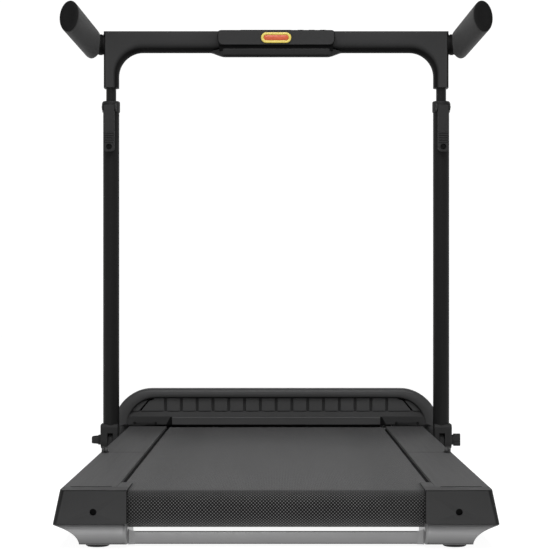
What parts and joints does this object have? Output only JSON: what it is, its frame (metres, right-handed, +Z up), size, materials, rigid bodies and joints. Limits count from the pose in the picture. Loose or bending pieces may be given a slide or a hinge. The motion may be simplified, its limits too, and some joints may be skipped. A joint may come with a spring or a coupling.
{
  "type": "folding treadmill",
  "caption": "Folding home treadmill with a jointed deck, walking belt, motor hood, telescoping fold-down handrail, turning horn grips and a small console.",
  "frame": {"origin": "on the floor under the middle of the machine's length and width", "axes": "+X across the deck to the walker's right, +Y along the deck from the rear end to the motor hood, +Z up"},
  "size_m": [0.8224, 1.505, 0.9087],
  "materials": {
    "frame_steel": "satin black paint",
    "deck_wood": "waxed dark board",
    "belt_rubber": "matt grey walking belt",
    "rail_plastic": "fine grained matt plastic",
    "black_plastic": "fine grained black plastic",
    "powder_coat": "satin black powder coat",
    "silver_cast": "satin silver",
    "bare_steel": "turned steel",
    "roller_steel": "zinc plated",
    "motor_paint": "grey paint",
    "foot_rubber": "matt rubber",
    "grip_foam": "soft matt rubber",
    "controller_plastic": "matt plastic",
    "display_gloss": "gloss black",
    "key_yellow": "gloss yellow with a red centre",
    "button_plastic": "matt grey"
  },
  "bodies": {
    "chassis": {"chassis_side_beams": "frame_steel", "chassis_cross_members": "frame_steel", "front_deck_board": "deck_wood", "front_deck_cushions": "foot_rubber", "belt_front": "belt_rubber", "front_rail_left": "rail_plastic", "front_rail_right": "rail_plastic", "front_hinge_ears": "frame_steel", "chassis_feet": "foot_rubber", "post_pivot_lugs": "frame_steel", "hood_shell": "black_plastic", "hood_vent_panel": "black_plastic", "hood_screws": "powder_coat", "motor_body": "motor_paint", "motor_bracket": "frame_steel", "motor_drive_belt": "foot_rubber", "motor_controller": "controller_plastic", "front_roller_axle": "bare_steel", "wheel_brackets": "frame_steel", "power_inlet": "black_plastic"},
    "front_roller": {"front_roller": "roller_steel"},
    "motor_rotor": {"motor_rotor": "bare_steel"},
    "wheel_left": {"wheel_left": "foot_rubber"},
    "wheel_right": {"wheel_right": "foot_rubber"},
    "power_switch": {"power_switch": "black_plastic"},
    "knob_left": {"knob_left": "black_plastic"},
    "knob_right": {"knob_right": "black_plastic"},
    "rear_deck": {"rear_side_beams": "frame_steel", "rear_cross_members": "frame_steel", "rear_deck_board": "deck_wood", "rear_deck_cushions": "foot_rubber", "belt_rear": "belt_rubber", "rear_rail_left": "rail_plastic", "rear_rail_right": "rail_plastic", "end_cap_left": "black_plastic", "end_cap_right": "black_plastic", "rear_casting_left": "silver_cast", "rear_casting_right": "silver_cast", "rear_stand_bar": "silver_cast", "rear_feet": "foot_rubber", "rear_hinge_ears": "frame_steel", "rear_roller_axle": "bare_steel", "tension_bolts": "bare_steel"},
    "rear_roller": {"rear_roller": "roller_steel"},
    "uprights": {"post_left": "powder_coat", "post_right": "powder_coat", "post_shoes": "black_plastic", "post_clamps": "black_plastic"},
    "lever_left": {"lever_left": "black_plastic"},
    "lever_right": {"lever_right": "black_plastic"},
    "handlebar": {"inner_rods": "bare_steel", "handlebar_frame": "black_plastic", "console_housing": "black_plastic", "display_window": "display_gloss"},
    "grip_left": {"grip_left": "grip_foam"},
    "grip_right": {"grip_right": "grip_foam"},
    "safety_key": {"safety_key": "key_yellow"},
    "button_slower": {"button_slower": "button_plastic"},
    "button_start": {"button_start": "button_plastic"},
    "button_faster": {"button_faster": "button_plastic"}
  },
  "joints": [
    {"name": "deck_fold", "type": "hinge", "parent": "chassis", "child": "rear_deck", "pos_m": [0, -0.1525, 0.0845], "axis": [-1, 0, 0], "range_deg": [0, 180]},
    {"name": "handrail_fold", "type": "hinge", "parent": "chassis", "child": "uprights", "pos_m": [0, 0.3355, 0.064], "axis": [1, 0, 0], "range_deg": [0, 81]},
    {"name": "height_slide", "type": "slide", "parent": "uprights", "child": "handlebar", "axis": [0, 0, 1], "range_m": [-0.024, 0.12]},
    {"name": "front_roller_spin", "type": "hinge", "parent": "chassis", "child": "front_roller", "pos_m": [0, 0.4775, 0.0535], "axis": [1, 0, 0], "continuous": true},
    {"name": "rear_roller_spin", "type": "hinge", "parent": "rear_deck", "child": "rear_roller", "pos_m": [0, -0.7225, 0.0535], "axis": [1, 0, 0], "continuous": true},
    {"name": "motor_spin", "type": "hinge", "parent": "chassis", "child": "motor_rotor", "pos_m": [0, 0.6075, 0.07], "axis": [1, 0, 0], "continuous": true},
    {"name": "power_switch_rock", "type": "hinge", "parent": "chassis", "child": "power_switch", "pos_m": [-0.244, 0.7465, 0.051], "axis": [1, 0, 0], "range_deg": [-14, 0]},
    {"name": "safety_key_pull", "type": "slide", "parent": "handlebar", "child": "safety_key", "axis": [0, -1, 0], "range_m": [0, 0.03]},
    {"name": "lever_left_open", "type": "hinge", "parent": "uprights", "child": "lever_left", "pos_m": [-0.3285, 0.312, 0.72], "axis": [-1, 0, 0], "range_deg": [0, 100]},
    {"name": "grip_left_turn", "type": "hinge", "parent": "handlebar", "child": "grip_left", "pos_m": [-0.362, 0.3355, 0.8457], "axis": [1, 0, 0], "range_deg": [0, 100]},
    {"name": "knob_left_turn", "type": "hinge", "parent": "chassis", "child": "knob_left", "pos_m": [-0.35, 0.3355, 0.064], "axis": [1, 0, 0], "continuous": true},
    {"name": "wheel_left_spin", "type": "hinge", "parent": "chassis", "child": "wheel_left", "pos_m": [-0.29, 0.7175, 0.029], "axis": [1, 0, 0], "continuous": true},
    {"name": "lever_right_open", "type": "hinge", "parent": "uprights", "child": "lever_right", "pos_m": [0.3285, 0.312, 0.72], "axis": [-1, 0, 0], "range_deg": [0, 100]},
    {"name": "grip_right_turn", "type": "hinge", "parent": "handlebar", "child": "grip_right", "pos_m": [0.362, 0.3355, 0.8457], "axis": [1, 0, 0], "range_deg": [0, 100]},
    {"name": "knob_right_turn", "type": "hinge", "parent": "chassis", "child": "knob_right", "pos_m": [0.35, 0.3355, 0.064], "axis": [1, 0, 0], "continuous": true},
    {"name": "wheel_right_spin", "type": "hinge", "parent": "chassis", "child": "wheel_right", "pos_m": [0.29, 0.7175, 0.029], "axis": [1, 0, 0], "continuous": true},
    {"name": "button_slower_press", "type": "slide", "parent": "handlebar", "child": "button_slower", "axis": [0, 0.1236, -0.9923], "range_m": [0, 0.0012], "stiffness_N_per_m": 400, "springref_m": -0.002},
    {"name": "button_start_press", "type": "slide", "parent": "handlebar", "child": "button_start", "axis": [0, 0.1236, -0.9923], "range_m": [0, 0.0012], "stiffness_N_per_m": 400, "springref_m": -0.002},
    {"name": "button_faster_press", "type": "slide", "parent": "handlebar", "child": "button_faster", "axis": [0, 0.1236, -0.9923], "range_m": [0, 0.0012], "stiffness_N_per_m": 400, "springref_m": -0.002}
  ],
  "couplings": [
    {"joint": "rear_roller_spin", "follows": "front_roller_spin", "ratio": 1},
    {"joint": "motor_spin", "follows": "front_roller_spin", "ratio": 2.5385}
  ]
}
